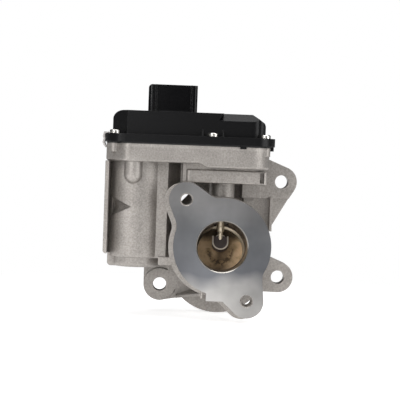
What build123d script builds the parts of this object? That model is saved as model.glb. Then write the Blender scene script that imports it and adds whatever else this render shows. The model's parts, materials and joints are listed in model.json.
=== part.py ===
from build123d import *
import math
import os

# Flap type exhaust gas recirculation valve: lengths in mm, +Z up, +X right, +Y into the engine side.
# The origin is the centre of the inlet bore on the machined inlet face.

# Gas passage: a straight inlet bore, an oblique flap tube and a lower outlet bore
BORE_R = 16.0
BORE_CHAMFER = 0.6
OUTLET_Y = 60.0
OUTLET_Z = -14.3
FLAP_Y = 28.5
FLAP_Z = -4.6
TILT = 28.0
TUBE_WALL = 4.0

# Inlet flange: a disc with two tapped ears, each (centre, ear radius, root radius)
FLANGE_R = 31.0
FLANGE_T = 10.0
FLANGE_DRAFT = 3.0
FLANGE_EARS = (((-23.6, 29.1), 11.0, 22.0), ((16.5, -34.0), 10.8, 24.0))
FLANGE_BLEND = 9.0
SKIRT_SHIFT = (-3.0, -0.8)
SKIRT_Y = (3.0, 13.0)
TAP_R = 3.4
TAP_CHAMFER = 0.8
TAP_RELIEF_R = 4.6

# Cast step and thin tab below the inlet flange: limits along X, Y and Z
STEP_BOX = ((-9.2, 2.0), (0.0, 7.5), (-34.6, -27.0))
TAB_BOX = ((-12.7, -11.5), (0.4, 5.0), (-33.2, -26.0))

# Outlet flange: a disc with three ears on arms; each arm ends at a root (centre, radius)
OUT_T = 9.0
OUT_R = 34.0
EAR_HOLE_R = 4.5
EAR_R = 10.3
EAR_R_LEFT = 10.9
LOWER_RIGHT = (41.0, -23.1)
LOWER_LEFT = (-38.6, -30.3)
UPPER_RIGHT = (41.4, 41.5)
ROOT_LOWER_RIGHT = ((0.0, OUTLET_Z), 18.0)
ROOT_LOWER_LEFT = ((-8.0, -20.0), 16.0)
ROOT_UPPER_RIGHT = ((22.0, 47.0), 12.5)
LEFT_ARM_INSET = 1.2
LEFT_ARM_TOP = ((-49.5, -14.0), (-20.0, -2.0), (-20.0, -30.3))
RIGHT_ARM_SIDE = ((20.0, 30.3), (46.6, 30.3), (50.2, 36.0), (36.0, 48.0), (10.0, 56.0))

# Upright web behind the pan, drawn in front view below the pan floor
WEB_LAP = 4.1
WEB_RECESS = 1.5
WEB_FOOT = ((46.6, 30.3), (28.0, -2.0), (-28.0, 4.0), (-28.0, 23.5), (-20.0, 32.0))
WEB_TOP_X = (-21.0, 20.0)

# Ribs and walls between the passage, the arms and the spring block
WINDOW_BACK_Y = 30.0
RIGHT_WALL_X = (13.4, 23.6)
RIGHT_WALL_Z = 30.6
STEM_T = 2.2
ARM_RIB_X = (33.6, 35.4)
ARM_RIB_Z = 8.0
LOW_RIB = ((-27.6, -39.0), (-8.0, -31.6))
LOW_RIB_T = 1.9
LOW_RIB_Y = 16.0

# Gearbox pan
PAN_X = (-75.6, 28.8)
PAN_Y = (1.0, 57.6)
PAN_Z = 51.8
PAN_LOW_Z = 49.3
PAN_LOW_X = -10.0
RIM_Z = 63.2
PAN_WALL = 2.8
FLOOR_Z = 55.0
PAN_CORNER = 13.0
PAN_CHAMFER = (12.4, 14.0)
PAN_CHAMFER_BLEND = 6.5
PAN_EDGE_R = 1.6

# Cover, its gasket, screws and spring clip
GASKET_T = 0.8
LIP_Z = RIM_Z + GASKET_T
LIP_T = 5.2
LIP_X = (-76.4, 32.0)
LIP_Y = (0.0, 58.6)
DOME_Z = 84.3
DOME_WALL = 2.6
DOME_X = (-72.2, 26.3)
DOME_Y = (8.6, 56.0)
DOME_CORNER = 10.0
DOME_CORNER_CUT = (9.6, 13.0)
DOME_SHOULDER = 5.4
DOME_SHOULDER_W = 6.6
DOME_CHAMFER_W = 9.0
FACET_X = (-7.0, -0.6)
FACET_DROP = 5.6
FACET_DEPTH = 6.6
GUSSET_SPREAD = 6.5
GUSSET_T = 0.9
GUSSET_RISE = 5.5
SCREW_AT = ((-70.2, 8.4), (-8.2, 4.4), (25.4, 8.4), (-70.2, 50.2), (4.0, 54.2), (25.4, 50.2))
POCKETED_SCREWS = SCREW_AT[2:]
HOOK_BOX = ((29.1, 31.5), (14.0, 24.0), (61.4, 65.0))
TAB_BELOW_LIP = ((9.0, 13.0), (0.2, 0.9), (62.0, 65.0))
CLIP_T = 1.2
CLIP_Y = (20.0, 32.0)
SCREW_R = 1.5
SCREW_GAP = 0.3
SCREW_HEAD_R = 3.3
SCREW_HEAD_T = 2.4
SCREW_HEAD_EDGE = 0.9
SCREW_DEPTH = 5.4
CROSS_ARM = 4.0
CROSS_W = 0.9
CROSS_DEPTH = 1.2
POST_R = 3.4
POCKET_CUT_R = 4.6

# Plug socket on the cover
PLUG_X = -34.2
PLUG_Y = 25.0
PLUG_W = 31.4
PLUG_D = 20.0
PLUG_TOP = 101.6
PLUG_CORNER = 2.4
PLUG_RIB_X = (-10.7, 12.0)
PLUG_WALL = 2.2
PLUG_FLOOR = DOME_Z + 1.5
PLUG_RIB_W = 1.0
PLUG_RIB_RISE = 0.9
PLUG_INNER_CORNER = 1.2
PIN_COUNT = 6
PIN_PITCH = 3.8
PIN_W = 1.5
PIN_T = 0.8
PIN_TOP = 96.0
STRIP_Z = 77.0
STRIP_LANES = (21.0, 34.0, 19.8, 22.0, 28.0, 25.0)
MOTOR_STRIPS = 2

# Motor and its pocket
MOTOR_AT = (-55.2, 27.0)
MOTOR_R = 14.0
MOTOR_GAP = 0.3
MOTOR_POCKET_R = MOTOR_R + MOTOR_GAP
POCKET_WALL = 4.0
POCKET_R = MOTOR_POCKET_R + POCKET_WALL
POCKET_BOTTOM = -9.7
POCKET_EDGE_R = 1.5
SIDE_WALL_T = 2.4
SIDE_WALL_Y = 8.4
SIDE_WALL_CORNER = 2.0
FLANK_ANGLE = -145.0
BRIDGE_Y = (14.0, 18.0)
BRIDGE_X = (-35.5, -27.5)
BRIDGE_BACK_Y = 30.0
FOOT_INSET = 2.0
FOOT_Z = -15.8
FOOT_HALF = 9.0
FOOT_EDGE_R = 2.5
FOOT_HOLLOW_R = 12.0
FOOT_FLOOR_T = 3.0
SADDLE_Y = (8.0, 16.0)
SADDLE_TOP = 22.0
HEEL_X = (15.0, 23.5)
NOTCH_Z = 22.9
NOTCH_R = 6.4
NOTCH_TIP_ANGLE = -102.0
NOTCH_BASE = (-16.8, -12.4)
CAN_BOTTOM = -5.2
CAN_WALL = 1.1
CAN_NOSE = 3.6
PLATE_T = 2.0
PLATE_LAP = 1.8
MOTOR_SCREW_R = 18.6
MOTOR_SCREW_ANGLE = 98.0
MOTOR_SCREW_LOW_Z = 43.5
MOTOR_SCREW_SHANK_R = 1.7
MOTOR_SCREW_HEAD = (3.0, 2.0)
MOTOR_BOSS_R = 5.8
MOTOR_SHAFT_R = 1.5
MOTOR_BUSH_R = 3.4
MOTOR_BUSH_DEPTH = 2.4
MOTOR_BUSH_RISE = 1.6
MAGNET_INNER_R = 10.6
MAGNET_Z = (6.0, 42.0)
MAGNET_SPLIT = 10.0
CORE_R = 10.2
CORE_Z = (9.0, 39.0)
CORE_POLES = 5
CORE_SLOT = (6.3, 2.2, 1.4)
WINDING_R = 8.6
WINDING_T = 4.4
COMMUTATOR_R = 4.2
COMMUTATOR_Z = (44.4, 50.0)
BRUSH_Z = (46.8, 49.6)
BRUSH_HALF = 1.5
BRUSH_REACH = (3.0, 10.6)
CARD_Z = (50.4, 52.4)
CARD_HOLE_R = 5.6
WAVE_RISE = 0.9
WAVE_T = 0.5
WAVE_W = 3.0
BUSH_GAP = 0.04

# Valve shaft, bushes and seal
SHAFT_R = 3.0
SHAFT_TIP_R = 2.35
SHAFT_NECK_Z = 17.0
SHAFT_SPIGOT_R = 1.7
SHAFT_SPIGOT_Z = (-2.6, 6.8)
SHAFT_TAPER = 1.4
KEY_SLOT_Z = (11.0, 17.5)
KEY_SLOT_W = 1.1
SHAFT_TOP = 66.5
BOSS_R = 8.2
BOSS_SINK = 10.0
BUSH_R = 5.2
LOWER_BUSH_Z = (20.0, 31.0)
SEAL_Z = (32.0, 38.0)
UPPER_BUSH_Z = (43.0, 53.0)
THRUST_T = 0.8
THRUST_R = 6.4

# Flap, ring and seat: spans are measured along the oblique tube from the flap centre
SEAT_OUTER_R = 17.0
SEAT_WALL = 2.15
SEAT_R = SEAT_OUTER_R - SEAT_WALL
SEAT_SPAN = (-3.6, 3.6)
FLAP_GAP = 0.25
FLAP_R = SEAT_R - FLAP_GAP
FLAP_T = 2.4
RING_GAP = 0.06
RING_WALL = 2.0
RING_R = SEAT_R - RING_GAP
RING_INNER_R = RING_R - RING_WALL
RING_T = 1.0
RING_GROOVE_GAP = 0.05
HUB_R = 5.3
HUB_RISE = 3.4
HUB_NECK = 4.4
HUB_T = 4.8
HUB_WALL = 0.9
HUB_DISH = 1.1

# Gear train
MODULE_FAST = 0.8
MODULE_SLOW = 1.0
PINION_TEETH = 12
WHEEL_TEETH = 48
IDLER_TEETH = 14
SECTOR_TEETH = 50
PRESSURE_ANGLE = 20.0
BACKLASH = 0.16
SECTOR_FROM = 106.5
SECTOR_TO = 180.0
SECTOR_Z = (FLOOR_Z + 4.0, FLOOR_Z + 8.2)
SECTOR_HUB_R = 6.5
SECTOR_WEB_Z = SECTOR_Z[0] + 2.0
SECTOR_RIM = 4.0
SECTOR_BOSS_R = 9.4
SPRING_PIN_R = 1.6
SPRING_PIN_ANGLE = SECTOR_FROM + 12.0
SPRING_PIN_Z = SECTOR_Z[0] - 1.2
IDLER_COLLAR = 1.4
IDLER_COLLAR_R = 4.2
IDLER_FOOT_Z = FLOOR_Z + 3.4
WHEEL_Z = (RIM_Z + 3.0, RIM_Z + 7.0)
WHEEL_WEB_R = (8.6, 15.6)
WHEEL_WEB_T = 2.6
WHEEL_HOLES = 6
WHEEL_HOLE_R = 2.0
PINION_Z = (WHEEL_Z[0] - 0.8, WHEEL_Z[1] + 1.2)
IDLER_PIN_R = 2.0
IDLER_PIN_TOP = WHEEL_Z[1] + 3.3

# Return spring in the well round the shaft boss
WELL_R = 14.5
WELL_Z = 43.2
BLOCK_X = (-24.0, 27.4)
SLOT_X = (22.8, 25.4)
BLOCK_Y = (8.0, 50.0)
BLOCK_Z = (39.8, 48.2)
BLOCK_CORNER = 2.0
BLOCK_EDGE_R = 0.8
BLOCK_RIM = 0.9
BLOCK_RIB_DROP = 4.0
NECK_INSET = 1.6
SPRING_R = 11.0
WIRE_R = 0.75
SPRING_PITCH = 2.3
SPRING_TURNS = 4
SPRING_FOOT_ANGLE = 180.0
SPRING_LEG_SLOT = (2.0, 3.0)
SPRING_LEG_REACH = 1.5
SPRING_LEG_GAP = 0.25

# Position sensor board under the cover
BOARD_X = (-14.0, 19.0)
BOARD_Y = (13.6, 44.0)
BOARD_Z = 73.0
BOARD_T = 1.6
BOARD_POST_R = 2.2
BOARD_POST_INSET = 3.0
CHIP = (5.2, 4.4, 0.9)
MAGNET_R = 5.0
MAGNET_T = 3.0
MAGNET_SEAT = SHAFT_TOP + 0.4

SHAFT_AT = (0.0, FLAP_Y)
MIN_ALIGN = (Align.CENTER, Align.CENTER, Align.MIN)
LEAN = math.radians(TILT)
FLAP_PLANE = Plane(
    origin=(0, FLAP_Y, FLAP_Z),
    x_dir=(1, 0, 0),
    z_dir=(0, -math.cos(LEAN), math.sin(LEAN)),
)
FRONT_KNEE_Y = FLAP_Y + FLAP_Z / math.tan(LEAN)
REAR_KNEE_Y = FLAP_Y + (FLAP_Z - OUTLET_Z) / math.tan(LEAN)
FRONT_RUN = (FRONT_KNEE_Y - FLAP_Y) / math.cos(LEAN)
REAR_RUN = (REAR_KNEE_Y - FLAP_Y) / math.cos(LEAN)


def idler_centre():
    """Centre of the idler: the rear crossing of the two centre distance circles."""
    near = MODULE_FAST * (PINION_TEETH + WHEEL_TEETH) / 2
    far = MODULE_SLOW * (IDLER_TEETH + SECTOR_TEETH) / 2
    dx = SHAFT_AT[0] - MOTOR_AT[0]
    dy = SHAFT_AT[1] - MOTOR_AT[1]
    d = math.hypot(dx, dy)
    along = (near**2 - far**2 + d * d) / (2 * d)
    across = math.sqrt(near**2 - along**2)
    return (
        MOTOR_AT[0] + (along * dx - across * dy) / d,
        MOTOR_AT[1] + (along * dy + across * dx) / d,
    )


IDLER_AT = idler_centre()


def heading(start, end):
    """Compass angle in degrees from one plan point to another."""
    return math.degrees(math.atan2(end[1] - start[1], end[0] - start[0]))


def polar(centre, r, degrees):
    """Plan point at a radius and angle from a centre."""
    angle = math.radians(degrees)
    return (centre[0] + r * math.cos(angle), centre[1] + r * math.sin(angle))


def cyl(r, z0, z1, at=(0, 0)):
    """Upright cylinder of radius r from z0 to z1."""
    return Pos(at[0], at[1], z0) * Cylinder(r, z1 - z0, align=MIN_ALIGN)


def tube(r_out, r_in, z0, z1, at=(0, 0)):
    """Upright tube."""
    return cyl(r_out, z0, z1, at) - cyl(r_in, z0 - 1, z1 + 1, at)


def block(xs, ys, zs):
    """Box between pairs of limits."""
    size = [pair[1] - pair[0] for pair in (xs, ys, zs)]
    middle = [(pair[0] + pair[1]) / 2 for pair in (xs, ys, zs)]
    return Pos(*middle) * Box(*size)


def rounded_block(xs, ys, zs, corner):
    """Box with rounded upright corners."""
    plan = RectangleRounded(xs[1] - xs[0], ys[1] - ys[0], corner)
    middle = ((xs[0] + xs[1]) / 2, (ys[0] + ys[1]) / 2, zs[0])
    return extrude(Pos(*middle) * plan, zs[1] - zs[0], dir=(0, 0, 1))


def inset(pair, by):
    """Limits drawn inwards."""
    return (pair[0] + by, pair[1] - by)


def around(middle, width):
    """Limits of a width centred on a value."""
    return (middle - width / 2, middle + width / 2)


def facing(y):
    """Plane at depth y with local x along X and local y along Z."""
    return Plane(origin=(0, y, 0), x_dir=(1, 0, 0), z_dir=(0, -1, 0))


def rearward(sketch, y0, y1):
    """Extrude a front view sketch from depth y0 to depth y1."""
    return extrude(facing(y1) * sketch, y1 - y0, dir=(0, -1, 0))


def along_y(r, y0, y1, x, z):
    """Cylinder lying along Y."""
    return rearward(Pos(x, z) * Circle(r), y0, y1)


def poly(*points):
    """Filled polygon through the given points."""
    return Polygon(*points, align=None)


def link(c1, r1, c2, r2):
    """Two discs joined by their outer tangents."""
    dx, dz = c2[0] - c1[0], c2[1] - c1[1]
    d = math.hypot(dx, dz)
    towards = math.atan2(dz, dx)
    spread = math.acos((r1 - r2) / d)
    points = []
    for (x, z), r, signs in ((c1, r1, (1, -1)), (c2, r2, (-1, 1))):
        for sign in signs:
            angle = towards + sign * spread
            points.append((x + r * math.cos(angle), z + r * math.sin(angle)))
    return Pos(*c1) * Circle(r1) + Pos(*c2) * Circle(r2) + poly(*points)


def slanted(r, start, end):
    """Cylinder on the flap tube axis between two distances behind the flap centre."""
    return FLAP_PLANE * Pos(0, 0, -end) * Cylinder(r, end - start, align=MIN_ALIGN)


def passage(grow, y0, y1, seat_start):
    """Gas passage grown outwards by a wall thickness."""
    r_front = BORE_R + grow
    r_rear = SEAT_OUTER_R + grow
    solid = along_y(r_front, y0, FRONT_KNEE_Y, 0, 0)
    solid += Pos(0, FRONT_KNEE_Y, 0) * Sphere(r_front)
    solid += slanted(r_front, FRONT_RUN, 0)
    solid += slanted(r_rear, seat_start, REAR_RUN)
    solid += Pos(0, REAR_KNEE_Y, OUTLET_Z) * Sphere(r_rear)
    solid += along_y(r_rear, REAR_KNEE_Y, y1, 0, OUTLET_Z)
    return solid


def countersink(r, chamfer, at):
    """Cutter for a 45 degree chamfer round a hole in the inlet face."""
    mouth = Cone(r, r + 2 * chamfer, 2 * chamfer, align=MIN_ALIGN)
    return facing(0) * Pos(*at, -chamfer) * mouth


# Valve housing


def flange_outline():
    """Front view of the inlet flange with blended ears."""
    outline = Circle(FLANGE_R)
    for centre, r, root in FLANGE_EARS:
        outline += link(centre, r, (0, 0), root)
    corners = [v for v in outline.vertices() if abs(math.hypot(v.X, v.Y) - FLANGE_R) < 0.01]
    return fillet(corners, FLANGE_BLEND)


def inlet_flange():
    """Inlet flange with its offset skirt, locating step and thin tab."""
    face = flange_outline()
    plate = extrude(facing(0) * face, -FLANGE_T, taper=-FLANGE_DRAFT)
    skirt = rearward(Pos(*SKIRT_SHIFT) * face, *SKIRT_Y)
    return plate + skirt + block(*STEP_BOX) + block(*TAB_BOX)


def outlet_flange():
    """Outlet flange: round land, three ears on arms and the web that carries the gearbox."""
    front = OUTLET_Y - OUT_T
    face = Pos(0, OUTLET_Z) * Circle(OUT_R)
    face += link(LOWER_RIGHT, EAR_R, *ROOT_LOWER_RIGHT)
    face += link(UPPER_RIGHT, EAR_R, *ROOT_UPPER_RIGHT)
    face += poly(*RIGHT_ARM_SIDE)
    left_arm = link(LOWER_LEFT, EAR_R_LEFT, *ROOT_LOWER_LEFT)
    left_arm += poly((LOWER_LEFT[0] - EAR_R_LEFT, LOWER_LEFT[1]), *LEFT_ARM_TOP)
    web = poly(*WEB_FOOT, (WEB_TOP_X[0], PAN_Z), (WEB_TOP_X[1], PAN_Z))
    plate = rearward(face, front, OUTLET_Y) + rearward(left_arm, front + LEFT_ARM_INSET, OUTLET_Y)
    plate += along_y(EAR_R_LEFT, front, OUTLET_Y, *LOWER_LEFT)
    return plate + rearward(web, PAN_Y[1] - WEB_LAP, OUTLET_Y - WEB_RECESS)


def drum():
    """Outside of the motor pocket: a drum whose left flank runs straight into a side wall."""
    x, y = MOTOR_AT
    wall_x = PAN_X[0] + SIDE_WALL_T
    heights = (POCKET_BOTTOM + FOOT_EDGE_R, PAN_Z)
    body = fillet(cyl(POCKET_R, POCKET_BOTTOM, PAN_Z, MOTOR_AT).edges().sort_by(Axis.Z)[0], POCKET_EDGE_R)
    body += block((PAN_X[0], x), (y - 1.0, y + POCKET_R - 1.0), heights)
    side = block((PAN_X[0], wall_x), (SIDE_WALL_Y, y), heights)
    lower_left = side.edges().filter_by(Axis.Y).group_by(Axis.Z)[0].sort_by(Axis.X)[0]
    body += fillet(lower_left, SIDE_WALL_CORNER)
    touch = polar(MOTOR_AT, POCKET_R, FLANK_ANGLE)
    slope = -1 / math.tan(math.radians(FLANK_ANGLE))
    flank = poly(touch, (wall_x, touch[1] + (wall_x - touch[0]) * slope), (wall_x, y), (x, y))
    return body + extrude(Pos(0, 0, heights[0]) * flank, heights[1] - heights[0], dir=(0, 0, 1))


def foot():
    """Stepped foot under the drum."""
    x, y = MOTOR_AT
    left = PAN_X[0] + FOOT_INSET + 0.6
    base = cyl(POCKET_R - FOOT_INSET, FOOT_Z, POCKET_BOTTOM, MOTOR_AT)
    base += block((left, x), (y - FOOT_HALF, y + FOOT_HALF), (FOOT_Z, POCKET_BOTTOM + FOOT_EDGE_R))
    return fillet(base.edges().group_by(Axis.Z)[0], FOOT_EDGE_R)


def bridge():
    """Wall from the drum towards the gas passage, bending back beside the inlet flange."""
    x = MOTOR_AT[0] + POCKET_R / 2
    plan = poly(
        (x, BRIDGE_Y[0]),
        (BRIDGE_X[0], BRIDGE_Y[0]),
        (BRIDGE_X[1], BRIDGE_BACK_Y - 4.0),
        (BLOCK_X[0] + 4.0, BRIDGE_BACK_Y - 4.0),
        (BLOCK_X[0] + 4.0, BRIDGE_BACK_Y),
        (BRIDGE_X[1] - 2.0, BRIDGE_BACK_Y),
        (BRIDGE_X[0] - 2.0, BRIDGE_Y[1]),
        (x, BRIDGE_Y[1]),
    )
    return extrude(Pos(0, 0, POCKET_BOTTOM) * plan, PAN_Z + 1.0 - POCKET_BOTTOM, dir=(0, 0, 1))


def motor_pocket():
    """Motor pocket with its foot, saddle, bridge to the passage, heel and screw bosses."""
    x, y = MOTOR_AT
    saddle_y = (y + SADDLE_Y[0], y + SADDLE_Y[1])
    saddle = block((x, x + POCKET_R + SADDLE_Y[0]), saddle_y, (POCKET_BOTTOM, SADDLE_TOP))
    heel_x = (x + HEEL_X[0], x + HEEL_X[1])
    heel = block(heel_x, (SKIRT_Y[1] - 0.5, BRIDGE_Y[1]), (FOOT_Z + 2.0, POCKET_BOTTOM + 1.0))
    bosses = [cyl(MOTOR_BOSS_R, MOTOR_SCREW_LOW_Z, PAN_Z, at) for at in motor_screw_centres()]
    ends = [Pos(*at, MOTOR_SCREW_LOW_Z) * Sphere(MOTOR_BOSS_R) for at in motor_screw_centres()]
    return drum() + foot() + bridge() + saddle + heel + bosses + ends


def housing_ribs():
    """Ribs between the passage, the arms and the spring block."""
    rear = OUTLET_Y - OUT_T + 1.0
    right_wall = block(RIGHT_WALL_X, (WINDOW_BACK_Y, rear), (RIGHT_WALL_Z, BLOCK_Z[0] + 1.0))
    buttress_z = (ARM_RIB_Z, RIGHT_WALL_Z + 0.4)
    right_wall += block(inset(RIGHT_WALL_X, 1.6), (WINDOW_BACK_Y + 8.0, rear), buttress_z)
    stem_x = (RIGHT_WALL_X[1] - 0.2, RIGHT_WALL_X[1] - 0.2 + STEM_T)
    stem = block(stem_x, (WINDOW_BACK_Y, rear), (RIGHT_WALL_Z - 0.3, BLOCK_Z[1]))
    arm_rib = block(ARM_RIB_X, (rear - 5.0, rear + 1.0), (ARM_RIB_Z, RIGHT_WALL_Z - 0.2))
    (left, low), (right, high) = LOW_RIB
    plan = poly((left, rear), (left, rear - 5.0), (right - 5.0, LOW_RIB_Y), (right, LOW_RIB_Y), (right, rear))
    slope = poly((left, low), (right, high), (right, high + LOW_RIB_T), (left, low + LOW_RIB_T))
    low_rib = upright(plan, (low - 1.0, high + LOW_RIB_T + 1.0)) & rearward(slope, 0.0, OUTLET_Y)
    return right_wall + stem + arm_rib + low_rib


def motor_screw_centres():
    """Plan positions of the two motor screws."""
    angles = (-MOTOR_SCREW_ANGLE, 180.0 - MOTOR_SCREW_ANGLE)
    return [polar(MOTOR_AT, MOTOR_SCREW_R, angle) for angle in angles]


def cone_notch():
    """Conical relief in the left front of the motor pocket, widening towards the side wall."""
    tip = polar(MOTOR_AT, POCKET_R, NOTCH_TIP_ANGLE)
    base = (MOTOR_AT[0] + NOTCH_BASE[0], MOTOR_AT[1] + NOTCH_BASE[1])
    along = (base[0] - tip[0], base[1] - tip[1], 0)
    start = Plane(origin=(tip[0], tip[1], NOTCH_Z), z_dir=along)
    return start * Cone(0.3, NOTCH_R, math.hypot(*along[:2]), align=MIN_ALIGN)


def pan_plan():
    """Plan of the gearbox pan: three round corners and a broad chamfer at the front left."""
    (left, right), (front, back) = PAN_X, PAN_Y
    across, deep = PAN_CHAMFER
    plan = poly((left, front + deep), (left + across, front), (right, front), (right, back), (left, back))
    broad = [v for v in plan.vertices() if v.X < left + across + 1.0 and v.Y < front + deep + 1.0]
    plan = fillet(broad, PAN_CHAMFER_BLEND)
    square = [v for v in plan.vertices() if v.X > right - 0.1 or v.Y > back - 0.1]
    return fillet([v for v in square if v.Y < front + 0.1 or v.Y > back - 0.1], PAN_CORNER)


def upright(plan, zs):
    """Extrude a plan from one height to another."""
    return extrude(Pos(0, 0, zs[0]) * plan, zs[1] - zs[0], dir=(0, 0, 1))


def spring_block():
    """Bar round the spring well with a slot near its right end."""
    bar = rounded_block(BLOCK_X, BLOCK_Y, BLOCK_Z, BLOCK_CORNER)
    front = bar.faces().sort_by(Axis.Y)[0]
    bar = fillet(front.edges().filter_by(Axis.X), BLOCK_EDGE_R)
    slot_y = (BLOCK_Y[0] - 1.0, BLOCK_Y[0] + 6.0)
    return bar - block(SLOT_X, slot_y, inset(BLOCK_Z, BLOCK_RIM))


def gearbox_pan():
    """Outside of the gearbox pan with its deeper right part, spring block, rib and screw posts."""
    pan = upright(pan_plan(), (PAN_Z, RIM_Z))
    pan = fillet(pan.edges().group_by(Axis.Z)[0], PAN_EDGE_R)
    deep = upright(pan_plan(), (PAN_LOW_Z, PAN_Z + PAN_EDGE_R))
    deep = fillet(deep.edges().group_by(Axis.Z)[0], PAN_EDGE_R)
    drop = PAN_Z + PAN_EDGE_R - PAN_LOW_Z
    slant = poly(
        (PAN_LOW_X, PAN_LOW_Z - 1.0),
        (PAN_X[1] + 1.0, PAN_LOW_Z - 1.0),
        (PAN_X[1] + 1.0, PAN_Z + PAN_EDGE_R),
        (PAN_LOW_X - 2 * drop, PAN_Z + PAN_EDGE_R),
        (PAN_LOW_X, PAN_LOW_Z),
    )
    deep &= rearward(slant, *PAN_Y)
    neck_x = (BLOCK_X[0] - 1.0, SLOT_X[0] - 0.5)
    neck = block(neck_x, (BLOCK_Y[0] + NECK_INSET, BLOCK_Y[1]), (BLOCK_Z[0] + 2.0, PAN_Z + 1.0))
    rib_z = (BLOCK_Z[0] - BLOCK_RIB_DROP, PAN_Z + 1.0)
    rib = block((BLOCK_X[0] - 2.4, BLOCK_X[0]), (BLOCK_Y[0] + 1.0, BLOCK_Y[1]), rib_z)
    posts = [cyl(POST_R, RIM_Z - SCREW_DEPTH, RIM_Z, at) for at in SCREW_AT]
    return pan + deep + spring_block() + neck + rib + posts


def pan_cavity():
    """Hollow of the gearbox pan and of the spring well, with the parts that stand in it."""
    hollow = upright(offset(pan_plan(), -PAN_WALL), (FLOOR_Z, RIM_Z + 1.0))
    hollow -= [cyl(POST_R, FLOOR_Z - 1.0, RIM_Z + 2.0, at) for at in SCREW_AT]
    hollow -= cyl(IDLER_COLLAR_R + 0.3, FLOOR_Z - 1.0, IDLER_FOOT_Z - IDLER_COLLAR, IDLER_AT)
    well = cyl(WELL_R, WELL_Z, FLOOR_Z + 1.0, SHAFT_AT)
    well -= cyl(BOSS_R - 0.6, WELL_Z - 1.0, UPPER_BUSH_Z[1], SHAFT_AT)
    slot_w, slot_h = SPRING_LEG_SLOT
    slot_y = (FLAP_Y - slot_w / 2, FLAP_Y + slot_w / 2)
    well += block((-WELL_R - SPRING_LEG_REACH - 1.0, -SPRING_R), slot_y, (WELL_Z, WELL_Z + slot_h))
    return hollow + well


def valve_housing():
    """Cast housing: two flanges, gas passage, motor pocket, shaft boss and gearbox pan."""
    body = passage(TUBE_WALL, FLANGE_T / 2, OUTLET_Y - OUT_T / 2, 2 * SEAT_SPAN[0])
    body += inlet_flange()
    body += outlet_flange()
    body += motor_pocket()
    body += gearbox_pan()
    body += cyl(BOSS_R, BORE_R - BOSS_SINK, PAN_LOW_Z + 1.0, SHAFT_AT)
    body += housing_ribs()
    body -= along_y(3 * (OUT_R + EAR_R), OUTLET_Y, OUTLET_Y + 2 * OUT_T, 0, 0)
    body -= passage(0, -1.0, OUTLET_Y + 1.0, SEAT_SPAN[0])
    body -= countersink(BORE_R, BORE_CHAMFER, (0, 0))
    body -= pan_cavity()
    body -= cyl(BUSH_R, FLAP_Z, UPPER_BUSH_Z[1] + 1.0, SHAFT_AT)
    body -= cyl(MOTOR_POCKET_R, CAN_BOTTOM - WAVE_RISE - 2 * WAVE_T - 0.5, FLOOR_Z + 1.0, MOTOR_AT)
    body -= cyl(FOOT_HOLLOW_R, FOOT_Z + FOOT_FLOOR_T, CAN_BOTTOM, MOTOR_AT)
    screw_z = (MOTOR_SCREW_LOW_Z - 1.0, FLOOR_Z + 1.0)
    body -= [cyl(MOTOR_SCREW_SHANK_R, *screw_z, at) for at in motor_screw_centres()]
    body -= [cyl(SCREW_R, RIM_Z - SCREW_DEPTH - 1.0, RIM_Z + 1.0, at) for at in SCREW_AT]
    body -= cyl(IDLER_PIN_R, PAN_Z + 0.8, IDLER_FOOT_Z, IDLER_AT)
    body -= cone_notch()
    for (x, z), _, _ in FLANGE_EARS:
        body -= along_y(TAP_R, -1.0, SKIRT_Y[1] + 1.0, x, z)
        body -= along_y(TAP_RELIEF_R, SKIRT_Y[1], BRIDGE_BACK_Y + 1.0, x, z)
        body -= countersink(TAP_R, TAP_CHAMFER, (x, z))
    for x, z in (LOWER_RIGHT, LOWER_LEFT, UPPER_RIGHT):
        body -= along_y(EAR_HOLE_R, OUTLET_Y - OUT_T - 4.0, OUTLET_Y + 1.0, x, z)
    return body


# Parts fixed in the housing


def seat_ring():
    """Hard ring that the flap closes in, with a lead-in chamfer at the front."""
    start, end = SEAT_SPAN
    ring = slanted(SEAT_OUTER_R, start, end) - slanted(SEAT_R, start - 1.0, end + 1.0)
    lead_in = FLAP_PLANE * Pos(0, 0, -start - 1.2) * Cone(
        SEAT_R, SEAT_R + 2.0, 2.0, align=MIN_ALIGN
    )
    return ring - lead_in


def shaft_bush(span):
    """Bush for the valve shaft."""
    return tube(BUSH_R, SHAFT_R + BUSH_GAP, *span, SHAFT_AT)


def shaft_seal():
    """Lip seal between the bushes."""
    seal = tube(BUSH_R, SHAFT_R + 2 * BUSH_GAP, *SEAL_Z, SHAFT_AT)
    return seal - tube(BUSH_R - 0.9, SHAFT_R + 0.8, SEAL_Z[0] - 1.0, SEAL_Z[0] + 3.5, SHAFT_AT)


def cover_gasket():
    """Flat gasket on the rim of the pan."""
    gasket = upright(pan_plan(), (RIM_Z, LIP_Z))
    gasket -= upright(offset(pan_plan(), -PAN_WALL), (RIM_Z - 1.0, LIP_Z + 1.0))
    gasket += [cyl(POST_R, RIM_Z, LIP_Z, at) for at in SCREW_AT]
    return gasket - [cyl(SCREW_R + SCREW_GAP, RIM_Z - 1.0, LIP_Z + 1.0, at) for at in SCREW_AT]


def dome_profile(xs, z0, top):
    """Front view of the dome: a long rounded left shoulder and a chamfered right one."""
    left, right = xs
    low = top - DOME_SHOULDER
    return make_face(
        Line((left, z0), (left, low))
        + EllipticalCenterArc(
            (left + DOME_SHOULDER_W, low), DOME_SHOULDER_W, top - low, start_angle=90, arc_size=90
        )
        + Polyline(
            (left + DOME_SHOULDER_W, top),
            (right - DOME_CHAMFER_W, top),
            (right - 1.0, low),
            (right, low - 2.0),
            (right, z0),
            (left, z0),
        )
    )


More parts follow.
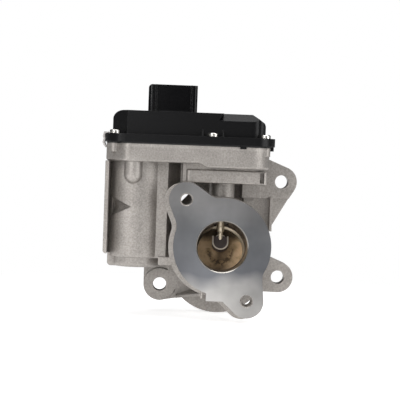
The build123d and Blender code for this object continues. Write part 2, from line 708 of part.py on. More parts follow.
def dome(grow, z0, top):
    """Body of the cover grown inwards or outwards, with its front facet and screw pockets."""
    xs, ys = inset(DOME_X, -grow), inset(DOME_Y, -grow)
    solid = rounded_block(xs, ys, (z0, top), DOME_CORNER + grow)
    solid &= rearward(dome_profile(xs, z0, top), *ys)
    low = top - FACET_DROP
    facet = Plane.YZ.offset(FACET_X[0]) * poly(
        (ys[0] - 1.0, low), (ys[0] - 1.0, top + 1.0), (ys[0] + FACET_DEPTH, top + 1.0)
    )
    slant = poly((FACET_X[0], low - 2.0), (FACET_X[1], top + 1.0), (xs[1], top + 1.0), (xs[1], low - 2.0))
    solid -= extrude(facet, xs[1] - FACET_X[0], dir=(1, 0, 0)) & rearward(slant, ys[0] - 1.0, ys[1])
    across, deep = DOME_CORNER_CUT
    corner = poly(
        (DOME_X[0] - 5.0, DOME_Y[0] - 5.0),
        (DOME_X[0] + across + 5.0 * across / deep, DOME_Y[0] - 5.0),
        (DOME_X[0] - 5.0, DOME_Y[0] + deep + 5.0 * deep / across),
    )
    solid -= upright(offset(corner, -grow), (z0 - 1.0, top + 1.0))
    return solid - [cyl(POCKET_CUT_R - grow, z0 - 1.0, top + 1.0, at) for at in POCKETED_SCREWS]


def plug_shroud():
    """Outside of the plug socket with rounded upper corners and two front ribs."""
    xs = (PLUG_X - PLUG_W / 2, PLUG_X + PLUG_W / 2)
    ys = (PLUG_Y - PLUG_D / 2, PLUG_Y + PLUG_D / 2)
    zs = (DOME_Z - DOME_WALL, PLUG_TOP)
    shroud = rounded_block(xs, ys, zs, PLUG_CORNER)
    for rib_x in PLUG_RIB_X:
        x = PLUG_X + rib_x
        shroud += block((x - PLUG_RIB_W / 2, x + PLUG_RIB_W / 2), (ys[0] - PLUG_RIB_RISE, PLUG_Y), zs)
    front = RectangleRounded(PLUG_W, 2 * (zs[1] - zs[0]), PLUG_CORNER)
    return shroud & rearward(Pos(PLUG_X, zs[0]) * front, ys[0] - PLUG_RIB_RISE, ys[1])


def plug_cavity():
    """Inside of the plug socket with one slit per pin in its floor."""
    xs = inset((PLUG_X - PLUG_W / 2, PLUG_X + PLUG_W / 2), PLUG_WALL)
    ys = inset((PLUG_Y - PLUG_D / 2, PLUG_Y + PLUG_D / 2), PLUG_WALL)
    cavity = rounded_block(xs, ys, (PLUG_FLOOR, PLUG_TOP + 1.0), PLUG_INNER_CORNER)
    slit_z = (STRIP_Z - 1.0, PLUG_FLOOR + 1.0)
    return cavity + [block(around(x, PIN_W), around(PLUG_Y, PIN_T), slit_z) for x in pin_columns()]


def screw_gussets():
    """Two thin gussets on the lip, one on each side of the front middle screw."""
    x, y = SCREW_AT[1]
    top = LIP_Z + LIP_T
    root_y = DOME_Y[0] + DOME_WALL / 2
    side = poly((y - SCREW_HEAD_R, top - 1.0), (root_y, top - 1.0), (root_y, top + GUSSET_RISE))
    return [
        extrude(Plane.YZ.offset(x + step - GUSSET_T / 2) * side, GUSSET_T, dir=(1, 0, 0))
        for step in (-GUSSET_SPREAD, GUSSET_SPREAD)
    ]


def gear_cover():
    """Moulded cover: lip, dome with screw pockets, gussets, plug socket and board posts."""
    cover = rounded_block(LIP_X, LIP_Y, (LIP_Z, LIP_Z + LIP_T), PAN_CORNER)
    cover += dome(0.0, LIP_Z + 1.0, DOME_Z)
    cover += screw_gussets()
    cover -= dome(-DOME_WALL, LIP_Z - 1.0, DOME_Z - DOME_WALL)
    cover += [block(*TAB_BELOW_LIP), block(*HOOK_BOX), plug_shroud()]
    cover -= plug_cavity()
    cover += [cyl(BOARD_POST_R, BOARD_Z + BOARD_T, DOME_Z - 1.0, at) for at in board_posts()]
    cover += tube(IDLER_PIN_R + 1.4, IDLER_PIN_R, WHEEL_Z[1] + 0.8, DOME_Z - 1.0, IDLER_AT)
    screw_z = (LIP_Z - 1.0, LIP_Z + LIP_T + 1.0)
    return cover - [cyl(SCREW_R + SCREW_GAP, *screw_z, at) for at in SCREW_AT]


def pin_columns():
    """X positions of the plug pins."""
    return [PLUG_X + (i - (PIN_COUNT - 1) / 2) * PIN_PITCH for i in range(PIN_COUNT)]


def board_posts():
    """Plan positions of the four posts that hold the sensor board."""
    xs, ys = inset(BOARD_X, BOARD_POST_INSET), inset(BOARD_Y, BOARD_POST_INSET)
    return [(x, y) for x in xs for y in ys]


def terminal_strip(x, lane, end, foot):
    """One plug pin whose strip runs to a lane, along it to an end, and down to a foot."""
    level = (STRIP_Z, STRIP_Z + PIN_T)
    strip = block(around(x, PIN_W), around(PLUG_Y, PIN_T), (STRIP_Z, PIN_TOP))
    crossing = (min(lane - PIN_W / 2, PLUG_Y - PIN_T / 2), max(lane + PIN_W / 2, PLUG_Y + PIN_T / 2))
    strip += block(around(x, PIN_W), crossing, level)
    run = (min(x, end) - PIN_W / 2, max(x, end) + PIN_W / 2)
    strip += block(run, around(lane, PIN_W), level)
    return strip + block(around(end, PIN_W), around(lane, PIN_T), (foot, level[1]))


def terminal_strips():
    """Six plug pins with their strips: two reach down to the motor, four reach the board."""
    strips = []
    for i, (x, lane) in enumerate(zip(pin_columns(), STRIP_LANES)):
        if i < MOTOR_STRIPS:
            strips.append(terminal_strip(x, lane, motor_terminal_x(), FLOOR_Z + PLATE_T))
        else:
            strips.append(terminal_strip(x, lane, BOARD_X[0] + 2.0, BOARD_Z + BOARD_T))
    return strips


def motor_terminal_x():
    """X position of the two motor terminals."""
    return MOTOR_AT[0] - 9.0


def cover_screw(at):
    """Pan head screw with a cross recess."""
    seat = LIP_Z + LIP_T
    screw = cyl(SCREW_R, RIM_Z - SCREW_DEPTH, seat, at)
    head = cyl(SCREW_HEAD_R, seat, seat + SCREW_HEAD_T, at)
    head = fillet(head.edges().sort_by(Axis.Z)[-1], SCREW_HEAD_EDGE)
    top = seat + SCREW_HEAD_T
    slot = block(around(0.0, CROSS_ARM), around(0.0, CROSS_W), (top - CROSS_DEPTH, top + 1.0))
    cross = slot + Rot(0, 0, 90) * slot
    return screw + head - Pos(at[0], at[1], 0) * cross


def side_clip():
    """Spring steel clip hooked over the left end of the cover lip and under the pan rim."""
    top, side = LIP_Z + LIP_T, LIP_X[0]
    half = CLIP_T / 2
    bow = Polyline(
        (side + 1.6, top + half),
        (side - half - 0.3, top + half),
        (side - half - 0.9, top - 1.6),
        (side - half - 0.3, top - 3.2),
        (side - half - 0.9, LIP_Z - 0.4),
        (side - half - 0.2, LIP_Z - 2.0),
        (PAN_X[0] - half, LIP_Z - 3.4),
    )
    return rearward(trace(bow, CLIP_T), *CLIP_Y)


# Motor


def motor_can():
    """Drawn can with a bearing nose in its closed end."""
    nose = CAN_BOTTOM - CAN_NOSE
    can = cyl(MOTOR_R, CAN_BOTTOM, FLOOR_Z, MOTOR_AT)
    can -= cyl(MOTOR_R - CAN_WALL, CAN_BOTTOM + CAN_WALL, FLOOR_Z + 1.0, MOTOR_AT)
    can += cyl(MOTOR_BUSH_R + CAN_WALL, nose, CAN_BOTTOM + CAN_WALL, MOTOR_AT)
    return can - cyl(MOTOR_BUSH_R, nose + 0.8, CAN_BOTTOM + CAN_WALL + 1.0, MOTOR_AT)


def motor_plate():
    """Plate that closes the can and carries it on two screws."""
    top = FLOOR_Z + PLATE_T
    disc = Pos(*MOTOR_AT) * Circle(MOTOR_R + PLATE_LAP)
    for at in motor_screw_centres():
        disc += link(at, MOTOR_SCREW_HEAD[0] + 0.9, MOTOR_AT, MOTOR_R - 3.0)
    plate = upright(disc, (FLOOR_Z, top))
    plate += cyl(MOTOR_BUSH_R + 1.2, FLOOR_Z - MOTOR_BUSH_DEPTH, top + MOTOR_BUSH_RISE, MOTOR_AT)
    plate -= cyl(MOTOR_BUSH_R, FLOOR_Z - MOTOR_BUSH_DEPTH - 1.0, top + MOTOR_BUSH_RISE + 1.0, MOTOR_AT)
    hole_r = MOTOR_SCREW_SHANK_R + 0.1
    return plate - [cyl(hole_r, FLOOR_Z - 1.0, top + 1.0, at) for at in motor_screw_centres()]


def motor_bushes():
    """Sintered bushes in the can and in the plate."""
    hole = MOTOR_SHAFT_R + BUSH_GAP
    lower_z = (CAN_BOTTOM - CAN_NOSE + 0.8, CAN_BOTTOM + CAN_WALL)
    upper_z = (FLOOR_Z - MOTOR_BUSH_DEPTH, FLOOR_Z + PLATE_T + MOTOR_BUSH_RISE)
    return [tube(MOTOR_BUSH_R, hole, *zs, MOTOR_AT) for zs in (lower_z, upper_z)]


def motor_screws():
    """Two screws that hold the motor plate on the floor of the pan."""
    seat = FLOOR_Z + PLATE_T
    head_r, head_t = MOTOR_SCREW_HEAD
    screws = []
    for at in motor_screw_centres():
        head = cyl(head_r, seat, seat + head_t, at)
        head = fillet(head.edges().sort_by(Axis.Z)[-1], head_t / 3)
        screws.append(cyl(MOTOR_SCREW_SHANK_R, MOTOR_SCREW_LOW_Z, seat, at) + head)
    return screws


def motor_magnets():
    """Two arc magnets inside the can."""
    ring = tube(MOTOR_R - CAN_WALL, MAGNET_INNER_R, *MAGNET_Z, MOTOR_AT)
    split_y = around(MOTOR_AT[1], MAGNET_SPLIT)
    return ring - block(around(MOTOR_AT[0], 3 * MOTOR_R), split_y, inset(MAGNET_Z, -1.0))


def brush_card():
    """Insulating card with two brush guides."""
    y = MOTOR_AT[1]
    card = tube(MOTOR_R - CAN_WALL, CARD_HOLE_R, *CARD_Z, MOTOR_AT)
    for side in (-1, 1):
        x = MOTOR_AT[0] + side * (CARD_HOLE_R + 3.0)
        guide = block(around(x, 6.0), around(y, 2 * BRUSH_HALF + 1.8), (BRUSH_Z[0] - 0.8, CARD_Z[0]))
        card += guide - block(around(x, 8.0), around(y, 2 * BRUSH_HALF), BRUSH_Z)
    return card


def brushes():
    """Two carbon brushes facing the commutator."""
    blocks = []
    for side in (-1, 1):
        ends = sorted(MOTOR_AT[0] + side * reach for reach in BRUSH_REACH)
        brush = block(ends, around(MOTOR_AT[1], 2 * BRUSH_HALF), BRUSH_Z)
        blocks.append(brush - cyl(COMMUTATOR_R + 0.3, *inset(BRUSH_Z, -1.0), MOTOR_AT))
    return blocks


def motor_shaft():
    """Motor shaft from the lower bush to the pinion."""
    return cyl(MOTOR_SHAFT_R, CAN_BOTTOM - CAN_NOSE + 1.0, PINION_Z[1] + 0.6, MOTOR_AT)


def rotor_core():
    """Laminated core with slots between its poles."""
    bulb_at, bulb_r, mouth_w = CORE_SLOT
    core = tube(CORE_R, MOTOR_SHAFT_R, *CORE_Z, MOTOR_AT)
    slot = Pos(bulb_at, 0) * Circle(bulb_r) + Pos(CORE_R, 0) * Rectangle(2 * (CORE_R - bulb_at), mouth_w)
    cutter = upright(slot, inset(CORE_Z, -1.0))
    turns = [360 / CORE_POLES * (i + 0.5) for i in range(CORE_POLES)]
    return core - [Pos(*MOTOR_AT, 0) * Rot(0, 0, turn) * cutter for turn in turns]


def rotor_windings():
    """End turns of the windings above and below the core."""
    hole = MOTOR_SHAFT_R + 0.4
    upper = tube(WINDING_R, hole, CORE_Z[1], CORE_Z[1] + WINDING_T, MOTOR_AT)
    return [upper, tube(WINDING_R, hole, CORE_Z[0] - WINDING_T, CORE_Z[0], MOTOR_AT)]


def commutator():
    """Copper commutator under the brush card."""
    return tube(COMMUTATOR_R, MOTOR_SHAFT_R, *COMMUTATOR_Z, MOTOR_AT)


# Gears


def gear_profile(teeth, module, phase, keep=None):
    """Involute gear outline with one tooth centred on the phase angle."""
    pressure = math.radians(PRESSURE_ANGLE)
    pitch_r = module * teeth / 2
    base_r = pitch_r * math.cos(pressure)
    root_r = pitch_r - 1.25 * module
    tip_r = pitch_r + 0.92 * module
    half = math.pi / (2 * teeth) - BACKLASH / (4 * pitch_r)
    rise = math.tan(pressure) - pressure
    start_r = max(base_r, root_r)
    levels = [start_r + (tip_r - start_r) * i / 3 for i in range(4)]
    flank = []
    for r in levels:
        roll = math.acos(min(1.0, base_r / r))
        flank.append((r, half + rise - (math.tan(roll) - roll)))
    foot = (root_r, min(flank[0][1] * 1.02, math.pi / teeth * 0.9))
    outline = [foot] + flank
    points = []
    for i in keep if keep is not None else range(teeth):
        centre = math.radians(phase) + 2 * math.pi * i / teeth
        points += [(r, centre - a) for r, a in outline]
        points += [(r, centre + a) for r, a in reversed(outline)]
    return [(r * math.cos(a), r * math.sin(a)) for r, a in points]


def spur_gear(teeth, module, zs, at, phase):
    """Solid spur gear."""
    outline = poly(*gear_profile(teeth, module, phase))
    return extrude(Pos(at[0], at[1], zs[0]) * outline, zs[1] - zs[0], dir=(0, 0, 1))


def wheel_phase():
    """Turn of the idler wheel so that a gap faces a pinion tooth."""
    return heading(IDLER_AT, MOTOR_AT) + 180.0 / WHEEL_TEETH


def motor_pinion():
    """Pinion pressed on the motor shaft, a tooth facing the idler."""
    pinion = spur_gear(PINION_TEETH, MODULE_FAST, PINION_Z, MOTOR_AT, heading(MOTOR_AT, IDLER_AT))
    return pinion - cyl(MOTOR_SHAFT_R, 60.0, 80.0, MOTOR_AT)


def idler_gear():
    """Idler: large wheel over a small pinion, with a webbed disc and lightening holes."""
    inner, outer = WHEEL_WEB_R
    wheel = spur_gear(WHEEL_TEETH, MODULE_FAST, WHEEL_Z, IDLER_AT, wheel_phase())
    wheel -= tube(outer, inner, WHEEL_Z[0] + WHEEL_WEB_T, WHEEL_Z[1] + 1.0, IDLER_AT)
    hole_z = inset(WHEEL_Z, -1.0)
    turns = [360 / WHEEL_HOLES * i for i in range(WHEEL_HOLES)]
    wheel -= [cyl(WHEEL_HOLE_R, *hole_z, polar(IDLER_AT, (inner + outer) / 2, turn)) for turn in turns]
    slow_z = (IDLER_FOOT_Z, WHEEL_Z[0])
    small = spur_gear(IDLER_TEETH, MODULE_SLOW, slow_z, IDLER_AT, heading(IDLER_AT, SHAFT_AT))
    gear = wheel + small + cyl(IDLER_COLLAR_R, IDLER_FOOT_Z - IDLER_COLLAR, IDLER_FOOT_Z, IDLER_AT)
    return gear - cyl(IDLER_PIN_R + BUSH_GAP, FLOOR_Z, WHEEL_Z[1] + 1.0, IDLER_AT)


def idler_pin():
    """Fixed pin that the idler turns on."""
    return cyl(IDLER_PIN_R, PAN_Z + 0.8, IDLER_PIN_TOP, IDLER_AT)


def sector_gear():
    """Toothed sector on the valve shaft with a hub, ribs and a spring pin."""
    mesh = heading(SHAFT_AT, IDLER_AT) % 360
    pitch = 360.0 / SECTOR_TEETH
    phase = mesh + pitch / 2
    first = math.ceil((SECTOR_FROM - phase) / pitch)
    last = math.floor((SECTOR_TO - phase) / pitch)
    root_r = MODULE_SLOW * (SECTOR_TEETH / 2 - 1.25)
    teeth = gear_profile(SECTOR_TEETH, MODULE_SLOW, phase, range(first, last + 1))
    face = poly((0, 0), *teeth) + Circle(SECTOR_BOSS_R - 1.4)
    middle = (SECTOR_FROM + SECTOR_TO) / 2
    rays = [polar((0, 0), 2 * root_r, middle + a) for a in (-30.0, -10.0, 10.0, 30.0)]
    window = (Circle(root_r - SECTOR_RIM) - Circle(SECTOR_BOSS_R)) & poly((0, 0), *rays)
    gear = upright(Pos(*SHAFT_AT) * face, SECTOR_Z)
    gear -= upright(Pos(*SHAFT_AT) * window, (SECTOR_WEB_Z, SECTOR_Z[1] + 1.0))
    gear += cyl(SECTOR_HUB_R, UPPER_BUSH_Z[1] + THRUST_T, MAGNET_SEAT, SHAFT_AT)
    gear += cyl(SPRING_PIN_R, SPRING_PIN_Z, SECTOR_Z[0] + 1.0, polar(SHAFT_AT, SPRING_R, SPRING_PIN_ANGLE))
    return gear - cyl(SHAFT_R, UPPER_BUSH_Z[1], SHAFT_TOP, SHAFT_AT)


def sensor_magnet():
    """Magnet on top of the sector hub."""
    return cyl(MAGNET_R, MAGNET_SEAT, MAGNET_SEAT + MAGNET_T, SHAFT_AT)


def sensor_board():
    """Position sensor board under the cover posts, with its chip over the magnet."""
    board = block(BOARD_X, BOARD_Y, (BOARD_Z, BOARD_Z + BOARD_T))
    return board + block(around(0.0, CHIP[0]), around(FLAP_Y, CHIP[1]), (BOARD_Z - CHIP[2], BOARD_Z))


# Flap


def flap_shaft():
    """Valve shaft: ground journal, turned down neck and a thin spigot in the flap hub."""
    spigot_low, spigot_top = SHAFT_SPIGOT_Z
    neck_low = spigot_top + SHAFT_TAPER
    shaft = cyl(SHAFT_R, SHAFT_NECK_Z, SHAFT_TOP, SHAFT_AT)
    shaft += Pos(*SHAFT_AT, SHAFT_NECK_Z - 1.0) * Cone(SHAFT_TIP_R, SHAFT_R, 1.0, align=MIN_ALIGN)
    shaft += cyl(SHAFT_TIP_R, neck_low, SHAFT_NECK_Z - 1.0, SHAFT_AT)
    taper = Cone(SHAFT_SPIGOT_R, SHAFT_TIP_R, SHAFT_TAPER, align=MIN_ALIGN)
    shaft += Pos(*SHAFT_AT, spigot_top) * taper
    shaft += cyl(SHAFT_SPIGOT_R, spigot_low, spigot_top, SHAFT_AT)
    slot_y = (SHAFT_AT[1] - SHAFT_R - 1.0, SHAFT_AT[1] - SHAFT_TIP_R + KEY_SLOT_W)
    return shaft - block(around(SHAFT_AT[0], KEY_SLOT_W), slot_y, KEY_SLOT_Z)


def hub_outline(r):
    """U shaped hub outline in the flap plane."""
    return Pos(0, HUB_RISE) * Circle(r) + Pos(0, HUB_RISE + HUB_NECK / 2) * Rectangle(2 * r, HUB_NECK)


def flap_disc():
    """Flap disc with its ring groove and a dished U hub that takes the shaft spigot."""
    disc = FLAP_PLANE * Pos(0, 0, -FLAP_T / 2) * Cylinder(FLAP_R, FLAP_T, align=MIN_ALIGN)
    groove_half = RING_T / 2 + RING_GROOVE_GAP
    groove = slanted(FLAP_R + 1.0, -groove_half, groove_half)
    groove -= slanted(RING_INNER_R - 0.3, -FLAP_T, FLAP_T)
    disc -= groove
    top = HUB_T + FLAP_T / 2
    hub = extrude(FLAP_PLANE * hub_outline(HUB_R), top)
    dish = FLAP_PLANE * Pos(0, 0, top - HUB_DISH) * hub_outline(HUB_R - HUB_WALL)
    disc += hub - extrude(dish, HUB_DISH + 1.0)
    return disc - flap_shaft()


def flap_ring():
    """Split sealing ring in the groove of the flap."""
    ring = slanted(RING_R, -RING_T / 2, RING_T / 2) - slanted(RING_INNER_R, -2.0, 2.0)
    return ring - FLAP_PLANE * Pos(0, -RING_R, -2.0) * Box(0.5, 8.0, 4.0, align=MIN_ALIGN)


# Springs and washers


def return_spring():
    """Torsion spring round the shaft boss; its foot lies in the well slot, its top points at the pin."""
    wind = SPRING_TURNS + (SPRING_PIN_ANGLE - SPRING_FOOT_ANGLE) / 360
    start_z = WELL_Z + WIRE_R + SPRING_LEG_GAP
    coil = Pos(*SHAFT_AT, start_z) * Rot(0, 0, SPRING_FOOT_ANGLE) * Helix(
        SPRING_PITCH, SPRING_PITCH * wind, SPRING_R
    )
    section = Plane(origin=coil @ 0, z_dir=coil % 0) * RegularPolygon(WIRE_R, 6)
    spring = sweep(section, path=coil, is_frenet=True)
    foot_end = polar(SHAFT_AT, WELL_R + SPRING_LEG_REACH, SPRING_FOOT_ANGLE)
    foot_run = Plane(origin=(*foot_end, start_z), z_dir=(*unit(SPRING_FOOT_ANGLE + 180), 0))
    spring += foot_run * Cylinder(WIRE_R, WELL_R + SPRING_LEG_REACH - SPRING_R, align=MIN_ALIGN)
    top = coil @ 1
    return spring + cyl(WIRE_R, top.Z, SPRING_PIN_Z - SPRING_LEG_GAP, (top.X, top.Y))


def unit(degrees):
    """Unit vector at an angle in plan."""
    return polar((0.0, 0.0), 1.0, degrees)


def wave_washer():
    """Wave washer that presses the motor can upwards."""
    half = MOTOR_R + 0.6
    heights = (0.0, WAVE_RISE, 0.0, WAVE_RISE, 0.0)
    wave = Spline(*[(half * (i - 2) / 2, height) for i, height in enumerate(heights)])
    x, y = MOTOR_AT
    floor = CAN_BOTTOM - WAVE_RISE - 2 * WAVE_T
    band = rearward(Pos(x, floor) * trace(wave, WAVE_T), y - 2 * half, y + 2 * half)
    ring_z = (floor - 2 * WAVE_RISE, floor + 3 * WAVE_RISE)
    return band & tube(MOTOR_R, MOTOR_R - WAVE_W, *ring_z, MOTOR_AT)


def thrust_washer():
    """Steel washer between the upper bush and the sector hub."""
    z = UPPER_BUSH_Z[1]
    return tube(THRUST_R, SHAFT_R + BUSH_GAP, z, z + THRUST_T, SHAFT_AT)


PARTS = {
    "valve_housing": valve_housing,
    "seat_ring": seat_ring,
    "lower_shaft_bush": lambda: shaft_bush(LOWER_BUSH_Z),
    "shaft_seal": shaft_seal,
    "upper_shaft_bush": lambda: shaft_bush(UPPER_BUSH_Z),
    "thrust_washer": thrust_washer,
    "return_spring": return_spring,
    "cover_gasket": cover_gasket,
    "gear_cover": gear_cover,
    "cover_screws": lambda: [cover_screw(at) for at in SCREW_AT],
    "side_clip": side_clip,
    "terminal_strips": terminal_strips,
    "sensor_board": sensor_board,
    "motor_can": motor_can,
    "motor_plate": motor_plate,
    "motor_screws": motor_screws,
    "motor_bushes": motor_bushes,
    "motor_magnets": motor_magnets,
    "brush_card": brush_card,
    "brushes": brushes,
    "wave_washer": wave_washer,
    "idler_pin": idler_pin,
    "motor_shaft": motor_shaft,
    "rotor_core": rotor_core,
    "rotor_windings": rotor_windings,
    "commutator": commutator,
    "motor_pinion": motor_pinion,
    "idler_gear": idler_gear,
    "sector_gear": sector_gear,
    "sensor_magnet": sensor_magnet,
    "flap_shaft": flap_shaft,
    "flap_disc": flap_disc,
    "flap_ring": flap_ring,
}


def write_parts():
    """Write every part as its own STEP file."""
    os.makedirs("parts", exist_ok=True)
    for name, make in PARTS.items():
        shape = make()
        if isinstance(shape, (list, tuple)):
            shape = Compound(children=list(shape))
        export_step(shape, f"parts/{name}.step")


write_parts()
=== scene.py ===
import json
import math

import bpy
from mathutils import Matrix, Vector

MM = 0.001

# Camera: matched to the photograph's view, lengths in metres and angles in degrees
CAMERA_TURN = 2.0
CAMERA_DIP = 2.0
CAMERA_ROLL = 2.1
CAMERA_DISTANCE = 0.7
METRES_PER_PIXEL = 0.63 * MM
FRAME_PIXELS = 400
SENSOR_WIDTH = 36.0
ORIGIN_PIXEL = (222.3, 247.0)

# Soft boxes: name, azimuth, elevation, distance, (width, height), watts
AIM = (-0.01, 0.02, 0.02)
LAMPS = (
    ("key", -36.0, 26.0, 1.0, (0.16, 0.7), 4.0),
    ("right", 58.0, 22.0, 1.0, (0.6, 0.8), 4.6),
    ("top", 0.0, 84.0, 0.95, (1.1, 0.6), 7.5),
    ("fill", -14.0, 14.0, 1.4, (0.5, 0.5), 1.7),
)

FLOOR_Z = -48.5 * MM
FLOOR_SIZE = 8.0
FLOOR_GLOW = 0.66
FLOOR_FADE = (0.10, 0.30)
FLOOR_SHEEN = 0.6
ROOM_GLOW = 0.10
ROOM_SHEEN = 0.09

# Casting: noise scales per metre, bump depths in metres
MOTTLE_SCALE = 60.0
GRAIN_SCALE = 950.0
SPECK_SCALE = 2600.0
GRAIN_DEPTH = 0.08 * MM
SPECK_DEPTH = 0.05 * MM
CAST_EDGE = 0.6 * MM
FINE_EDGE = 0.2 * MM
MACHINED_TO_Y = 0.02 * MM
# Machined face: painted reflection by height and painted shade towards both sides
MACHINED_SIDE_SHADE = (-26.0 * MM, 18.0 * MM)
MACHINED_REFLECTION_HEIGHTS = (-45.0 * MM, 60.0 * MM)
MACHINED_DRIFT = 30.0 * MM
TURNING_DEPTH = 0.02 * MM

# Gas passage: its axis drops from the inlet's height to the outlet's, and soot starts past the rim
PASSAGE_KNEES = (19.85 * MM, 46.75 * MM)
OUTLET_HEIGHT = -14.3 * MM
PASSAGE_REACH = 19.4 * MM
SOOT_START = (9.6 * MM, 12.4 * MM)

# Casting: painted shade by height, from the inlet's axis up to the raised band round the open end of the
# gearbox pan
SHADE_BAND_HEIGHTS = (0.0, 61.2 * MM)

# Plug shroud: smoother than the cover that it rises from
PLUG_FOOT = (84.6 * MM, 85.6 * MM)
COVER_ROUGHNESS = 0.27
PLUG_ROUGHNESS = 0.13
SPARK_SCALE = 1800.0
SPARK_DEPTH = 0.05 * MM
COVER_EDGE = 0.5 * MM

# Flap: its middle, its tilt and the heights of the hub rim and dish above its mid plane
FLAP_MIDDLE = (0.0, 28.5 * MM, -4.6 * MM)
FLAP_TILT = 28.0
FLAP_REACH = 14.5 * MM
FLAP_DRIFT = 10.0 * MM
HUB_RIM_HEIGHT = 5.7 * MM
HUB_FOOT_HEIGHT = 1.6 * MM
# Painted shadow below the hub: a speckled dark arc round its lower side
HUB_SHADOW_HEIGHT = -3.0 * MM
HUB_SHADOW_FLATTEN = 0.8
HUB_SHADOW_ARC = (5.2 * MM, 9.6 * MM)
HUB_SHADOW_STRENGTH = 0.8

# Sliding steel: darkened by painted shade on the left of the seat, bright from the shaft to the right
SEAT_SHADE = (-5.5 * MM, -2.8 * MM)
SHADED_STEEL = (0.14, 0.11, 0.075)
BRIGHT_STEEL = (0.8, 0.7, 0.54)


# Node helpers


def new_material(name):
    """Empty node material with its output node."""
    material = bpy.data.materials.new(name)
    material.use_nodes = True
    tree = material.node_tree
    tree.nodes.clear()
    return material, tree, tree.nodes.new("ShaderNodeOutputMaterial")


def add(tree, kind, **values):
    """Adds a node and sets its properties."""
    node = tree.nodes.new(kind)
    for key, value in values.items():
        setattr(node, key, value)
    return node


def principled(tree, color, metallic, roughness, **more):
    """Principled shader with constants on its own sockets; a texture may be linked over its colour."""
    shader = add(tree, "ShaderNodeBsdfPrincipled")
    shader.inputs["Base Color"].default_value = (*color, 1.0)
    shader.inputs["Metallic"].default_value = metallic
    shader.inputs["Roughness"].default_value = roughness
    for key, value in more.items():
        shader.inputs[key].default_value = value
    return shader


def noise(tree, scale, detail=3.0, rough=0.5, stretch=(1, 1, 1)):
    """Noise over object coordinates, returning its factor socket."""
    coords = add(tree, "ShaderNodeTexCoord")
    mapping = add(tree, "ShaderNodeMapping")
    mapping.inputs["Scale"].default_value = stretch
    tree.links.new(coords.outputs["Object"], mapping.inputs["Vector"])
    texture = add(tree, "ShaderNodeTexNoise")
    texture.inputs["Scale"].default_value = scale
    texture.inputs["Detail"].default_value = detail
    texture.inputs["Roughness"].default_value = rough
    tree.links.new(mapping.outputs["Vector"], texture.inputs["Vector"])
    return texture.outputs["Fac"]


def ramp(tree, source, stops):
    """Colour ramp fed by a factor socket; stops are (position, colour)."""
    node = add(tree, "ShaderNodeValToRGB")
    elements = node.color_ramp.elements
    while len(elements) < len(stops):
        elements.new(0.5)
    for element, (position, color) in zip(elements, stops):
        element.position = position
        element.color = (*color, 1.0)
    tree.links.new(source, node.inputs["Fac"])
    return node.outputs["Color"]


def greys(tones):
    """Stops for a ramp of neutral tones, given as (position, tone)."""
    return [(position, (tone, tone, tone)) for position, tone in tones]


def bump(tree, height, strength, distance, normal=None):
    """Bump node returning its normal socket."""
    node = add(tree, "ShaderNodeBump")
    node.inputs["Strength"].default_value = strength
    node.inputs["Distance"].default_value = distance
    tree.links.new(height, node.inputs["Height"])
    if normal is not None:
        tree.links.new(normal, node.inputs["Normal"])
    return node.outputs["Normal"]


def multiply(tree, first, second):
    """Product of two colour sockets."""
    node = add(tree, "ShaderNodeMixRGB", blend_type="MULTIPLY")
    node.inputs["Fac"].default_value = 1.0
    tree.links.new(first, node.inputs["Color1"])
    tree.links.new(second, node.inputs["Color2"])
    return node.outputs["Color"]


def spread(tree, source, low, high, to_low=0.0, to_high=1.0):
    """Maps a value from one range to another, held at its ends."""
    node = add(tree, "ShaderNodeMapRange")
    for key, value in (("From Min", low), ("From Max", high), ("To Min", to_low), ("To Max", to_high)):
        node.inputs[key].default_value = value
    tree.links.new(source, node.inputs["Value"])
    return node.outputs["Result"]


def math_node(tree, operation, *sources):
    """Math node fed by sockets or numbers."""
    node = add(tree, "ShaderNodeMath", operation=operation)
    for slot, source in zip(node.inputs, sources):
        if isinstance(source, float):
            slot.default_value = source
        else:
            tree.links.new(source, slot)
    return node.outputs[0]


def blend_shaders(tree, factor, first, second):
    """Mix of two shaders by a factor socket."""
    mix = add(tree, "ShaderNodeMixShader")
    tree.links.new(factor, mix.inputs["Fac"])
    tree.links.new(first, mix.inputs[1])
    tree.links.new(second, mix.inputs[2])
    return mix.outputs[0]


def place(tree):
    """Coordinates of a node at rest, as separate axes."""
    coords = add(tree, "ShaderNodeTexCoord")
    split = add(tree, "ShaderNodeSeparateXYZ")
    tree.links.new(coords.outputs["Object"], split.inputs["Vector"])
    return split.outputs


def soft_edges(tree, radius):
    """Rounded edge normal for the small radii that a casting or moulding has."""
    node = add(tree, "ShaderNodeBevel", samples=6)
    node.inputs["Radius"].default_value = radius
    return node.outputs["Normal"]


# Materials


